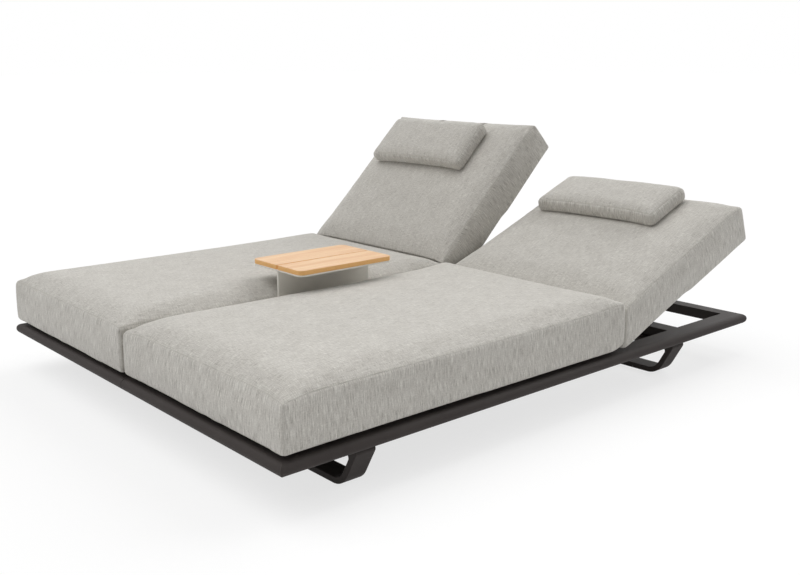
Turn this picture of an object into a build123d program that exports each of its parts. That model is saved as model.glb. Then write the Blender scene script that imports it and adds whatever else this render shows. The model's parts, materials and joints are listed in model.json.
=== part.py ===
"""Double chaise lounger: two reclining loungers side by side, with a small table between them.

Millimetres and degrees.  +Z is up, +Y points to the head ends and +X to the right lounger.
The origin is on the floor, under the centre of the frame.  Each lounger is drawn on the right
(+X) side, and the left one is its mirror image apart from the angle of its back.
"""
from build123d import *
import os
from math import atan2, cos, degrees, hypot, radians, sin, sqrt

# Frame

frame_length = 2010.0
lounger_width = 799.0
centre_gap = 2.0
rail_width = 65.0
rail_height = 35.0
rail_bottom = 117.0
rail_flat = 0.4
rail_wall = 2.5

rear_bar_from_head = 402.0
hinge_bar_from_hinge = 67.0
hinge_bar_width = 30.0
bar_radius = 4.0

# Leg loops

leg_width = 64.0
leg_thickness = 18.0
leg_wall = 2.0
leg_top_inset = 13.0
leg_foot_inset = 75.0
leg_bend_radius = 63.0
leg_top_radius = 10.0
leg_edge_radius = 2.0
front_leg_from_foot = 231.0
rear_leg_from_head = 432.0

glide_height = 3.0
glide_radius = 14.0
glide_edge = 1.0
glide_from_bend = 20.0

# Seat deck

slat_width = 60.0
slat_height = 12.0
slat_wall = 2.0
slat_end_inset = 39.0
seat_slat_count = 11
seat_slat_first = 20.0
seat_slat_last = 8.0

# Hinges of the backs

hinge_from_head = 703.0
hinge_over_rail = 5.0
hinge_from_side = 165.0
hinge_eye_radius = 8.0
hinge_web_angle = 60.0
hinge_pin_radius = 3.0
hinge_ear_thickness = 4.0
hinge_side_gap = 0.5
hinge_running_gap = 0.06
pin_seat_gap = 0.04
pin_head_radius = 5.5
pin_head_height = 2.0
bracket_plate = 4.0

right_back_angle = 21.6
left_back_angle = 44.5

# Frames of the backs, in their own flat pose: along from the hinge, and up from its axis

back_bar_width = 40.0
back_bar_height = 10.0
back_bar_wall = 2.0
back_bar_top = 6.0
back_bar_start = 30.0
back_bar_end = 700.0
back_bar_radius = 2.0
back_lug_thickness = 6.0
back_front_bar = 40.0
prop_bar_start = 95.0
prop_bar_width = 38.0
back_strip_width = 50.0
back_strip_thickness = 2.0
back_strip_count = 9
back_strip_margin = 12.0

# Props and racks

prop_pivot_along = 145.0
prop_pivot_drop = 2.0
prop_eye_radius = 7.0
prop_pin_radius = 2.5
prop_spread = 115.0
prop_lug_thickness = 6.0
prop_stay_height = 12.0
prop_stay_thickness = 5.0
prop_rod_radius = 4.5
prop_rod_reach = 30.0
rack_from_stay = 7.5
rack_thickness = 8.0
rack_height = 30.0
rack_clearance = 0.5
notch_radius = 5.0
notch_angles = (10.0, right_back_angle, 33.0, left_back_angle, 55.0, 65.0)

# Cushions

cushion_side_inset = 8.0
cushion_centre_inset = 6.0
cushion_lay = 0.3
cushion_drawn_in = 4.0
cushion_bottom_radius = 12.0
cushion_seam_radius = 14.0
cushion_end_radius = 14.0
cushion_end_crown = 2.0
cushion_turn_angles = (0.0, 30.0, 60.0, 90.0)
crown_stop_shares = (0.07, 0.14, 0.24, 0.38, 0.5, 0.62, 0.76, 0.86, 0.93)

seat_from_foot = 15.0
seat_from_hinge = 22.0
seat_seam_over_rail = 147.5
seat_crown = 30.0

cushion_end_gap = 5.0
right_back_slide = 0.0
left_back_slide = 51.0
back_cushion_reach = 726.0
back_seam_height = 136.0
back_crown = 20.0
back_front_radius = 26.0
back_over_seat_gap = 10.0
back_over_seat_radius = 16.0

# Head pillows

pillow_width = 550.0
pillow_length = 225.0
pillow_thickness = 60.0
pillow_corner = 24.0
pillow_corner_share = 0.75
pillow_stop_shares = (0.0, 0.1, 0.3, 0.6, 1.0)
pillow_shift = -41.0
right_pillow_from_end = 159.0
left_pillow_from_end = 197.0
strap_width = 20.0
strap_thickness = 1.2
strap_shift = 12.0
strap_spread = 243.0
strap_gap = 0.3
pillow_lay = 0.9
strap_shoulder = 42.0
strap_drop = 70.0
strap_tuck = 160.0

# Table

table_width = 250.0
table_length = 375.0
table_from_seat_end = 555.5
table_over_rail = 255.0
table_slat_thickness = 13.0
table_slat_gap = 5.0
table_corner_radius = 35.0
table_edge_radius = 3.0
tray_thickness = 5.0
tray_inset = 3.0
tray_lip = 2.0
blade_thickness = 10.0
blade_edge_radius = 4.0
foot_plate_width = 72.0
foot_plate_thickness = 3.0
table_screw_radius = 2.5
table_screw_head = 4.5
table_screw_head_height = 2.2
table_screw_inset = 45.0

# Links under the centre rails

link_length = 90.0
link_width = 40.0
link_thickness = 4.0
link_screw_radius = 3.0
link_screw_head = 5.5
link_screw_head_height = 3.5
link_screw_spread = 31.0
link_from_leg = 93.0

# Values that follow

frame_half = frame_length / 2
side_inner = centre_gap / 2
side_outer = side_inner + lounger_width
side_middle = (side_inner + side_outer) / 2
rail_top = rail_bottom + rail_height
rail_middle = rail_bottom + rail_height / 2
rails_inside = lounger_width - 2 * rail_width
hinge_y = frame_half - hinge_from_head
hinge_z = rail_top + hinge_over_rail
rear_bar_front = frame_half - rear_bar_from_head
hinge_bar_front = hinge_y - hinge_bar_from_hinge
hinge_bar_back = hinge_bar_front + hinge_bar_width
front_leg_front = front_leg_from_foot - frame_half
rear_leg_front = frame_half - rear_leg_from_head
seat_start = seat_from_foot - frame_half
seat_end = hinge_y - seat_from_hinge
seat_seam_height = rail_top + seat_seam_over_rail
table_middle_y = seat_end - table_from_seat_end
table_top = rail_top + table_over_rail
cushion_inner = cushion_centre_inset
cushion_outer = side_outer - cushion_side_inset
cushion_middle = (cushion_inner + cushion_outer) / 2
cushion_half = (cushion_outer - cushion_inner) / 2
deck_top = rail_top + slat_height
seat_bottom = deck_top + cushion_lay
hinge_spread = cushion_half - hinge_from_side
back_deck = back_bar_top + back_strip_thickness
back_bottom = back_deck + cushion_lay
prop_length = hypot(prop_pivot_along, prop_pivot_drop)
prop_offset = -degrees(atan2(prop_pivot_drop, prop_pivot_along))
prop_stay_gap = prop_spread + prop_lug_thickness / 2 + hinge_side_gap
prop_stay_outer = prop_stay_gap + prop_stay_thickness
rack_top = hinge_z - prop_rod_radius - rack_clearance
rack_spread = prop_stay_outer + rack_from_stay + rack_thickness / 2

os.makedirs("parts", exist_ok=True)


def save(name, solids):
    """Write one node, whether it is one solid or a group of them."""
    shapes = solids if isinstance(solids, list) else [solids]
    loose = [solid for shape in shapes for solid in shape.solids()]
    export_step(loose[0] if len(loose) == 1 else Compound(children=loose), f"parts/{name}.step")


def sided(shape, side):
    """A shape drawn for the right lounger, or its mirror image for the left one."""
    return shape if side > 0 else shape.mirror(Plane.YZ)


def slab(outline, plane, start, depth):
    """A flat outline on a plane, extruded from a distance along the plane's normal."""
    return extrude(plane.offset(start) * outline, depth, dir=plane.z_dir)


def box(low, high):
    """A block from its lowest to its highest corner."""
    size = [b - a for a, b in zip(low, high)]
    middle = [(a + b) / 2 for a, b in zip(low, high)]
    return Pos(*middle) * Box(*size)


def box_tube(length, width, height, wall, radius):
    """A rectangular tube along X with rounded corners, centred on the origin."""
    section = RectangleRounded(width, height, radius)
    section -= RectangleRounded(width - 2 * wall, height - 2 * wall, radius - wall / 2)
    return extrude(Plane.YZ * section, length / 2, both=True)


# Frame rails

def rail_section(inset):
    """A rail seen along its length: half round to the left, square to the right, shrunk by an inset."""
    wide, high = rail_width - 2 * inset, rail_height - 2 * inset
    plan = Pos(rail_width / 2, rail_middle) * Rectangle(wide, high)
    return fillet(plan.vertices().group_by(Axis.X)[0], (high - rail_flat) / 2)


def cross_rail():
    """The foot end's tube, mitred at the outer corner and closed at the centre."""
    plane = Plane.YZ
    shape = slab(rail_section(0), plane, side_inner, lounger_width)
    shape -= slab(rail_section(rail_wall), plane, side_inner + rail_wall, lounger_width)
    corner = [(side_outer, 0), (side_outer - rail_width, rail_width), (side_outer, rail_width)]
    shape -= slab(Polygon(*corner, align=None), Plane.XY, 0, 2 * rail_top)
    return Pos(0, -frame_half, 0) * shape


def outer_rail():
    """The long outer tube, mitred at both ends."""
    plane = Plane.XZ.offset(-frame_half)
    shape = slab(rail_section(0) - rail_section(rail_wall), plane, 0, frame_length)
    for end in (-1, 1):
        tip = end * frame_half
        corner = [(0, tip), (rail_width, tip), (rail_width, tip - end * rail_width)]
        shape -= slab(Polygon(*corner, align=None), Plane.XY, 0, 2 * rail_top)
    return Pos(side_outer, 0, 0) * shape.mirror(Plane.YZ)


def inner_rail():
    """The square tube along the centre, between the two end rails."""
    tube = box_tube(frame_length - 2 * rail_width, rail_width, rail_height, rail_wall, bar_radius)
    return Pos(side_inner + rail_width / 2, 0, rail_middle) * (Rot(0, 0, 90) * tube)


def frame_rails():
    """The four tubes of one lounger's frame."""
    foot = cross_rail()
    return {"head_rail": foot.mirror(Plane.XZ), "foot_rail": foot, "outer_rail": outer_rail(),
            "inner_rail": inner_rail()}


def rear_bar():
    """The cross bar near the head end, as high as the rails."""
    tube = box_tube(rails_inside, rail_width, rail_height, rail_wall, bar_radius)
    return Pos(side_middle, rear_bar_front + rail_width / 2, rail_middle) * tube


def hinge_bar():
    """The cross bar under the seat's end that carries the hinge brackets."""
    tube = box_tube(rails_inside, hinge_bar_width, rail_height, rail_wall, bar_radius)
    return Pos(side_middle, (hinge_bar_front + hinge_bar_back) / 2, rail_middle) * tube


# Leg loops and glides

def leg_outline(inset):
    """The loop's outline seen from the foot end, shrunk by an inset."""
    top = rail_bottom
    corners = [(side_inner + leg_top_inset, top), (side_outer - leg_top_inset, top),
               (side_outer - leg_foot_inset, glide_height), (side_inner + leg_foot_inset, glide_height)]
    shape = Polygon(*corners, align=None)
    if inset:
        shape = offset(shape, amount=-inset, kind=Kind.INTERSECTION)
    rows = shape.vertices().group_by(Axis.Y)
    shape = fillet(rows[0], leg_bend_radius - inset)
    rows = shape.vertices().group_by(Axis.Y)
    return fillet(rows[-1], leg_top_radius)


def leg_loop(front):
    """A closed loop of flat tube across one lounger."""
    band = leg_outline(0) - leg_outline(leg_thickness)
    core = leg_outline(leg_wall) - leg_outline(leg_thickness - leg_wall)
    loop = slab(band, Plane.XZ, -front - leg_width, leg_width)
    rims = loop.edges().filter_by(lambda edge: abs(edge.center().Y - front) < leg_wall / 2
                                  or abs(edge.center().Y - front - leg_width) < leg_wall / 2)
    loop = fillet(rims, leg_edge_radius)
    hollow = slab(core, Plane.XZ, leg_wall - front - leg_width, leg_width - 2 * leg_wall)
    return loop - hollow


def glides():
    """Round pads under the flat runs of both leg loops."""
    pad = Cylinder(glide_radius, glide_height, align=(Align.CENTER, Align.CENTER, Align.MIN))
    pad = chamfer(pad.edges().group_by(Axis.Z)[0], glide_edge)
    reach = side_outer - leg_foot_inset - leg_bend_radius - glide_from_bend
    places = [(x, front + leg_width / 2) for x in (reach, 2 * side_middle - reach)
              for front in (front_leg_front, rear_leg_front)]
    return [Pos(x, y, 0) * pad for x, y in places]


# Seat deck

def channel(length, width, height, wall):
    """A shallow channel along X, open below, with its top at zero height."""
    bar = box((-length / 2, -width / 2, -height), (length / 2, width / 2, 0))
    groove = box((-length, wall - width / 2, -2 * height), (length, width / 2 - wall, -wall))
    return bar - groove


def seat_slats():
    """Channels across the rails that carry the seat cushion."""
    slat = channel(lounger_width - 2 * slat_end_inset, slat_width, slat_height, slat_wall)
    first = seat_start + seat_slat_first + slat_width / 2
    last = hinge_bar_back - seat_slat_last - slat_width / 2
    pitch = (last - first) / (seat_slat_count - 1)
    return [Pos(side_middle, first + i * pitch, deck_top) * slat for i in range(seat_slat_count)]


# Hinges

def headed_pin(radius, length, head_radius, head_height):
    """A pin along X, centred, with a flat head at each end."""
    shank = Cylinder(radius, length, rotation=(0, 90, 0))
    head = Cylinder(head_radius, head_height, rotation=(0, 90, 0))
    reach = (length + head_height) / 2
    return shank + Pos(reach, 0, 0) * head + Pos(-reach, 0, 0) * head


def hinge_centres():
    return [cushion_middle - hinge_spread, cushion_middle + hinge_spread]


def hinge_brackets():
    """Two forks on the hinge bar, one for each side bar of the back."""
    hole = hinge_pin_radius + pin_seat_gap
    gap = back_lug_thickness / 2 + hinge_side_gap
    width = gap + hinge_ear_thickness
    low = rail_bottom + rail_wall
    along = hinge_eye_radius * cos(radians(hinge_web_angle))
    rise = hinge_eye_radius * sin(radians(hinge_web_angle))
    web = [(hinge_bar_back, low), (hinge_bar_back, rail_top - rail_wall), (hinge_y - along, hinge_z + rise),
           (hinge_y + along, hinge_z - rise), (hinge_bar_back + bracket_plate, low)]
    plate = Polygon(*web, align=None) + Pos(hinge_y, hinge_z) * Circle(hinge_eye_radius)
    plate -= Pos(hinge_y, hinge_z) * Circle(hole)
    forks = []
    for centre in hinge_centres():
        ears = [slab(plate, Plane.YZ, start, hinge_ear_thickness) for start in (-width, gap)]
        base = box((-width, hinge_bar_back, low),
                   (width, hinge_bar_back + bracket_plate, rail_top - rail_wall))
        forks.append(Pos(centre, 0, 0) * (base + ears[0] + ears[1]))
    return forks


def hinge_pins():
    """A headed pin through each fork."""
    length = back_lug_thickness + 2 * (hinge_side_gap + hinge_ear_thickness)
    pin = headed_pin(hinge_pin_radius, length, pin_head_radius, pin_head_height)
    return [Pos(x, hinge_y, hinge_z) * pin for x in hinge_centres()]


# The back's frame, drawn flat with the hinge axis on the X axis

def back_side_bars():
    """Two flat tubes along the back, each with a hinge lug at its front end."""
    length = back_bar_end - back_bar_start
    tube = box_tube(length, back_bar_width, back_bar_height, back_bar_wall, back_bar_radius)
    level = back_bar_top - back_bar_height / 2
    tube = Pos(0, back_bar_start + length / 2, level) * (Rot(0, 0, 90) * tube)
    low = back_bar_top - back_bar_height
    web = [(0, -hinge_eye_radius), (back_bar_start, low), (back_bar_start, back_bar_top),
           (0, hinge_eye_radius)]
    eye = Circle(hinge_eye_radius) + Polygon(*web, align=None)
    eye -= Circle(hinge_pin_radius + hinge_running_gap)
    lug = slab(eye, Plane.YZ, -back_lug_thickness / 2, back_lug_thickness)
    cap = box((-back_bar_width / 2, back_bar_start - back_bar_wall, low),
              (back_bar_width / 2, back_bar_start, back_bar_top))
    bar = tube + cap + lug
    return [Pos(x, 0, 0) * bar for x in hinge_centres()]


def back_cross_bars():
    """Flat tubes between the side bars: front, prop bar with its two lugs, and far end."""
    span = 2 * hinge_spread - back_bar_width
    level = back_bar_top - back_bar_height / 2
    flat = box_tube(span, back_bar_width, back_bar_height, back_bar_wall, back_bar_radius)
    middle = prop_bar_start + prop_bar_width / 2
    prop_bar = box_tube(span, prop_bar_width, back_bar_height, back_bar_wall, back_bar_radius)
    prop_bar = Pos(cushion_middle, middle, level) * prop_bar
    reach = prop_bar_start + prop_bar_width
    low = back_bar_top - back_bar_height
    web = [(reach, low), (reach, back_bar_top - back_bar_wall / 2),
           (prop_pivot_along, prop_eye_radius - prop_pivot_drop),
           (prop_pivot_along, -prop_eye_radius - prop_pivot_drop)]
    eye = Pos(prop_pivot_along, -prop_pivot_drop) * Circle(prop_eye_radius) + Polygon(*web, align=None)
    eye -= Pos(prop_pivot_along, -prop_pivot_drop) * Circle(prop_pin_radius + pin_seat_gap)
    lug = slab(eye, Plane.YZ, -prop_lug_thickness / 2, prop_lug_thickness)
    for side in (-1, 1):
        prop_bar += Pos(cushion_middle + side * prop_spread, 0, 0) * lug
    front = Pos(cushion_middle, back_front_bar + back_bar_width / 2, level) * flat
    end = Pos(cushion_middle, back_bar_end - back_bar_width / 2, level) * flat
    return [front, prop_bar, end]


def back_strips():
    """Thin strips across the side bars that carry the back cushion."""
    span = 2 * hinge_spread + back_bar_width
    first = back_front_bar + back_strip_margin + back_strip_width / 2
    last = back_bar_end - back_strip_margin - back_strip_width / 2
    pitch = (last - first) / (back_strip_count - 1)
    strip = Box(span, back_strip_width, back_strip_thickness)
    strip = fillet(strip.edges().filter_by(Axis.Z), back_bar_radius)
    level = back_deck - back_strip_thickness / 2
    return [Pos(cushion_middle, first + i * pitch, level) * strip for i in range(back_strip_count)]


def raised(shape, angle):
    """Turn a shape drawn flat round the hinge, and carry it to its place."""
    return Pos(0, hinge_y, hinge_z) * (Rot(angle, 0, 0) * shape)


# Props and racks

def prop():
    """Two stays and the rod at their foot, drawn with the pivot on the X axis."""
    hole = Circle(prop_pin_radius + hinge_running_gap)
    flat = Pos(prop_length / 2, 0) * SlotCenterToCenter(prop_length, prop_stay_height)
    stay = slab(flat - hole, Plane.YZ, 0, prop_stay_thickness)
    rod_length = 2 * (prop_stay_outer + prop_rod_reach)
    rod = Pos(cushion_middle, prop_length, 0) * Cylinder(prop_rod_radius, rod_length, rotation=(0, 90, 0))
    right = Pos(cushion_middle + prop_stay_gap, 0, 0) * stay
    left = Pos(cushion_middle - prop_stay_outer, 0, 0) * stay
    return rod + right + left


def prop_pivot(angle):
    """Where the prop's pivot is when the back stands at an angle."""
    turn = radians(angle + prop_offset)
    return hinge_y + prop_length * cos(turn), hinge_z + prop_length * sin(turn)


def placed_prop(angle):
    """The prop as it stands under a back at an angle, its rod level with the hinge."""
    y, z = prop_pivot(angle)
    return Pos(0, y, z) * (Rot(-angle - prop_offset, 0, 0) * prop())


def prop_pins():
    """A headed pin through each lug and stay, drawn in the back's flat pose."""
    length = prop_lug_thickness + 2 * hinge_side_gap + prop_stay_thickness
    pin = headed_pin(prop_pin_radius, length, pin_head_radius, pin_head_height)
    reach = prop_spread - prop_lug_thickness / 2 + length / 2
    return [Pos(cushion_middle + side * reach, prop_pivot_along, -prop_pivot_drop) * pin for side in (-1, 1)]


def prop_racks():
    """Two notched bars from the hinge bar to the rear bar, one under each end of the rod."""
    profile = box((0, hinge_bar_back, rack_top - rack_height), (rack_thickness, rear_bar_front, rack_top))
    cutter = Cylinder(notch_radius, 3 * rack_thickness, rotation=(0, 90, 0))
    for angle in notch_angles:
        foot = hinge_y + 2 * prop_length * cos(radians(angle + prop_offset))
        profile -= Pos(0, foot, rack_top) * cutter
    return [Pos(cushion_middle + side * rack_spread - rack_thickness / 2, 0, 0) * profile for side in (-1, 1)]


# Cushions

def cushion_section(at, half, bottom, seam, crown, rounding):
    """One cross-section: flat below, rounded at the bottom edges and seams, crowned on top."""
    low = min(cushion_bottom_radius, rounding)
    high = min(cushion_seam_radius, rounding)
    diagonal = 1 - sqrt(2) / 2
    rise = high / 2
    crest = seam + rise + crown
    bulge = cushion_drawn_in / 2
    side = [(half - low, bottom), (half - low * diagonal, bottom + low * diagonal), (half, bottom + low),
            (half + bulge, (bottom + seam) / 2), (half, seam - high),
            (half - high * diagonal / 2, seam - high * diagonal), (half - high, seam + rise)]
    points = side + [(0, crest)] + [(-across, up) for across, up in reversed(side)]
    edges = [ThreePointArc(*points[i:i + 3]) for i in range(0, len(points) - 2, 2)]
    edges.append(Line(points[-1], points[0]))
    return Plane.XZ.offset(-at) * make_face(Wire(edges))


def crown_share(share, rise_share):
    """How much of the crown there is at a share of the length: all of it past the rise."""
    near = min(share, 1 - share, rise_share) / rise_share
    return 1 - (1 - near) ** 2


def cushion(start, end, bottom, seam, crown, round_start=True):
    """A boxed cushion along Y: crowned, with drawn-in sides and rounded ends."""
    length = end - start
    turns = [radians(a) for a in cushion_turn_angles]
    rounding = [(cushion_end_radius * (1 - cos(turn)), 1 - sin(turn)) for turn in turns]
    stops = [(start, 0)]
    if round_start:
        stops = [(start + at, shrink) for at, shrink in rounding]
    stops += [(start + share * length, 0) for share in crown_stop_shares]
    stops += [(end - at, shrink) for at, shrink in reversed(rounding)]
    sections = []
    for at, shrink in stops:
        share = (at - start) / length
        inset = shrink * cushion_end_radius
        pulled = cushion_drawn_in * (1 - (2 * share - 1) ** 4)
        rise = cushion_end_crown + (crown - cushion_end_crown) * crown_share(share, crown_stop_shares[2])
        sections.append(cushion_section(at, cushion_half - inset - pulled, bottom + inset, seam - inset / 2,
                                        rise, cushion_bottom_radius))
    return Pos(cushion_middle, 0, 0) * loft(sections, ruled=True)


def seat_cushion():
    crown = seat_crown - cushion_seam_radius / 2
    return cushion(seat_start, seat_end, seat_bottom, seat_seam_height, crown)


def seat_room():
    """The space that the seat cushion leaves no other piece, behind and over its end."""
    wall_y = seat_end + cushion_end_gap
    roof_z = seat_seam_height + cushion_seam_radius / 2 + back_over_seat_gap
    far = 2 * back_cushion_reach
    corners = [(wall_y - far, roof_z), (wall_y, roof_z), (wall_y, -far), (wall_y - far, -far)]
    outline = Polygon(*corners, align=None)
    corner = outline.vertices().sort_by_distance((wall_y, roof_z))[0]
    outline = fillet(corner, back_over_seat_radius)
    return slab(outline, Plane.YZ, -far, 2 * far)


def under_room(angle):
    """What is cut away under the cushion's front corner so that it is rounded there."""
    wall_y = seat_end + cushion_end_gap
    turn = radians(angle)
    along = (wall_y - hinge_y + back_bottom * sin(turn)) / cos(turn)
    corner_y = wall_y
    corner_z = hinge_z + along * sin(turn) + back_bottom * cos(turn)
    reach = back_front_radius * 2
    triangle = [(corner_y, corner_z), (corner_y, corner_z + reach),
                (corner_y + reach * cos(turn), corner_z + reach * sin(turn))]
    keep = Polygon(*triangle, align=None)
    corner = keep.vertices().sort_by_distance((corner_y, corner_z))[0]
    waste = keep - fillet(corner, back_front_radius)
    return slab(waste, Plane.YZ, -side_outer, 3 * side_outer)


def back_cushion(angle, slide):
    """The back's cushion at its angle, its front end pressed against the seat cushion."""
    length = back_cushion_reach - (seat_end + cushion_end_gap - hinge_y)
    end = back_cushion_reach + slide
    crown = back_crown - cushion_seam_radius / 2
    body = cushion(end - length - back_crown, end, back_bottom, back_seam_height, crown, round_start=False)
    body = raised(body, angle) - seat_room()
    if slide < back_front_radius:
        body -= under_room(angle)
    return body


# Head pillows, drawn in the back's flat pose

def back_crest_circle():
    """Radius and centre height of the back cushion's crown, across the lounger."""
    half = cushion_half - cushion_drawn_in - cushion_seam_radius
    rise = back_crown - cushion_seam_radius / 2
    radius = (half ** 2 + rise ** 2) / (2 * rise)
    return radius, back_seam_height + back_crown - radius


def crest_height(x):
    """Height of the back cushion's crown at a distance from the cushion's middle."""
    radius, centre = back_crest_circle()
    return centre + sqrt(radius ** 2 - x ** 2)


def pillow(shift, middle):
    """A soft rounded box that lies on the straps, hollowed below to the crown it lies on."""
    lift = strap_gap + strap_thickness + pillow_lay
    top = crest_height(0) + lift + pillow_thickness
    half_width = pillow_width / 2
    bottom = crest_height(abs(shift) + half_width) + lift
    deep = top - bottom
    sections = []
    radius = pillow_corner
    for share in pillow_stop_shares:
        turn = share * radians(90)
        sections.append((radius * (1 - cos(turn)), radius * (1 - sin(turn))))
    stops = [(-pillow_length / 2 + at, inset) for at, inset in sections]
    stops += [(pillow_length / 2 - at, inset) for at, inset in reversed(sections)]
    faces = []
    for at, inset in stops:
        rounding = radius - inset * pillow_corner_share
        plan = RectangleRounded(pillow_width - 2 * inset, deep - 2 * inset, rounding)
        faces.append(Plane.XZ.offset(-at) * plan)
    body = Pos(cushion_middle + shift, middle, (top + bottom) / 2) * loft(faces, ruled=True)
    crest_radius, centre = back_crest_circle()
    below = Cylinder(crest_radius + lift, 3 * pillow_length, rotation=(90, 0, 0))
    return body - Pos(cushion_middle, middle, centre) * below


def pillow_straps(shift, slide):
    """Two flat straps from under the pillow, over the cushion's far end and down behind it."""
    end = back_cushion_reach + slide
    straps = []
    for side in (-1, 1):
        x = shift + side * strap_spread / 2
        nearest = max(abs(x) - strap_width / 2, 0)
        lift = strap_gap + strap_thickness / 2
        level = crest_height(nearest) + lift
        start = end - strap_tuck
        shoulder = end - strap_shoulder
        over = end + lift
        route = Polyline((start, level), (shoulder, level), (over, back_seam_height + cushion_seam_radius),
                         (over, back_seam_height - strap_drop))
        shape = trace(route, strap_thickness)
        ribbon = slab(shape, Plane.YZ, cushion_middle + x - strap_width / 2, strap_width)
        straps.append(ribbon)
    return straps


# Table

def table_plan(inset):
    return RectangleRounded(table_width - 2 * inset, table_length - 2 * inset, table_corner_radius - inset)


def table_slat(side):
    """One half of the wooden top, rounded at its outer corners."""
    top = extrude(table_plan(0), table_slat_thickness)
    rims = top.edges().group_by(Axis.Z)
    top = fillet(rims[0] + rims[-1], table_edge_radius)
    reach = side * table_width
    low, high = sorted((side * table_slat_gap / 2, reach))
    half = box((low, -table_length, -table_slat_thickness), (high, table_length, 2 * table_slat_thickness))
    return Pos(0, table_middle_y, table_top - table_slat_thickness) * (top & half)


def table_tray():
    """The thin tray under the wooden top, with a shallow turned-down lip."""
    bottom = table_top - table_slat_thickness - tray_thickness
    tray = extrude(table_plan(tray_inset), tray_thickness)
    rims = tray.edges().group_by(Axis.Z)
    tray = fillet(rims[0], tray_thickness - tray_lip)
    holes = Cylinder(table_screw_radius + pin_seat_gap, 4 * tray_thickness)
    for x, y in table_screw_places():
        tray -= Pos(x, y, 0) * holes
    return Pos(0, table_middle_y, bottom) * tray


def table_blade():
    """The upright plate between the tray and the foot plate."""
    low = rail_top + foot_plate_thickness
    high = table_top - table_slat_thickness - tray_thickness
    blade = RectangleRounded(blade_thickness, table_length - 2 * tray_inset, blade_edge_radius)
    return Pos(0, table_middle_y, low) * extrude(blade, high - low)


def table_foot():
    """The foot plate that lies on the two centre rails."""
    plan = RectangleRounded(foot_plate_width, table_length, blade_edge_radius)
    return Pos(0, table_middle_y, rail_top) * extrude(plan, foot_plate_thickness)


def table_screw_places():
    """Four screws up into each wooden half, from the table's middle."""
    x = table_width / 2 - table_screw_inset
    y = table_length / 2 - table_screw_inset
    return [(i * x, j * y) for i in (-1, 1) for j in (-1, 1)]


def table_screws():
    """Pan-headed screws through the tray."""
    bottom = table_top - table_slat_thickness - tray_thickness
    start = (Align.CENTER, Align.CENTER, Align.MIN)
    shank = Cylinder(table_screw_radius, tray_thickness, align=start)
    head = Cylinder(table_screw_head, table_screw_head_height, align=start)
    head = Pos(0, 0, -table_screw_head_height) * head
    return [Pos(x, table_middle_y + y, bottom) * (shank + head) for x, y in table_screw_places()]


# Links between the two frames

def link_places():
    """One plate behind the front legs, one before the rear legs, and one midway."""
    first = front_leg_front + leg_width + link_from_leg + link_width / 2
    last = rear_leg_front - link_from_leg - link_width / 2
    return [first, (first + last) / 2, last]


def link_plates():
    """Plates under the two centre rails that hold the loungers together."""
    plate = extrude(RectangleRounded(link_length, link_width, bar_radius), link_thickness)
    hole = Cylinder(link_screw_radius + pin_seat_gap, 4 * link_thickness)
    for side in (-1, 1):
        plate -= Pos(side * link_screw_spread, 0, 0) * hole
    return [Pos(0, y, rail_bottom - link_thickness) * plate for y in link_places()]


def link_screws():
    """Cap-headed screws up through the link plates."""
    start = (Align.CENTER, Align.CENTER, Align.MIN)
    shank = Cylinder(link_screw_radius, link_thickness, align=start)
    head = Cylinder(link_screw_head, link_screw_head_height, align=start)
    head = Pos(0, 0, -link_screw_head_height) * head
    screw = Pos(0, 0, rail_bottom - link_thickness) * (shank + head)
    return [Pos(side * link_screw_spread, y, 0) * screw for y in link_places() for side in (-1, 1)]


def lounger(name, side, angle, slide, pillow_from_end):
    """Write every node of one lounger."""
    pillow_middle = back_cushion_reach + slide - pillow_from_end
    nodes = frame_rails()
    nodes["rear_bar"] = rear_bar()
    nodes["hinge_bar"] = hinge_bar()
    nodes["front_leg"] = leg_loop(front_leg_front)
    nodes["rear_leg"] = leg_loop(rear_leg_front)
    nodes["glides"] = glides()
    nodes["seat_slats"] = seat_slats()
    nodes["hinge_brackets"] = hinge_brackets()
    nodes["hinge_pins"] = hinge_pins()
    nodes["prop_racks"] = prop_racks()
    nodes["seat_cushion"] = seat_cushion()
    nodes["back_side_bars"] = [raised(bar, angle) for bar in back_side_bars()]
    nodes["back_cross_bars"] = [raised(bar, angle) for bar in back_cross_bars()]
    nodes["back_strips"] = [raised(strip, angle) for strip in back_strips()]
    nodes["back_cushion"] = back_cushion(angle, slide)
    nodes["pillow_straps"] = [raised(strap, angle) for strap in pillow_straps(side * strap_shift, slide)]
    nodes["pillow"] = raised(pillow(side * pillow_shift, pillow_middle), angle)
    nodes["prop"] = placed_prop(angle)
    nodes["prop_pins"] = [raised(pin, angle) for pin in prop_pins()]
    for node, solids in nodes.items():
        shapes = solids if isinstance(solids, list) else [solids]
        save(f"{name}_{node}", [sided(shape, side) for shape in shapes])


lounger("right", 1, right_back_angle, right_back_slide, right_pillow_from_end)
lounger("left", -1, left_back_angle, left_back_slide, left_pillow_from_end)

save("table_slat_right", table_slat(1))
save("table_slat_left", table_slat(-1))
save("table_tray", table_tray())
save("table_blade", table_blade())
save("table_foot", table_foot())
save("table_screws", table_screws())
save("link_plates", link_plates())
save("link_screws", link_screws())
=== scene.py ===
"""Looks of the double chaise lounger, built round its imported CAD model.

Lengths are named in millimetres and turned to metres where a mesh is made, angles are in degrees,
and the scales of noises are per metre. +X is the right lounger, +Y the head end and +Z up. In its
flat pose a back has x across it, s along it from the hinge and h up from it.
"""
import itertools
import json
import math

import bpy
import numpy as np
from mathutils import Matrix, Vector
from mathutils.bvhtree import BVHTree


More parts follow.
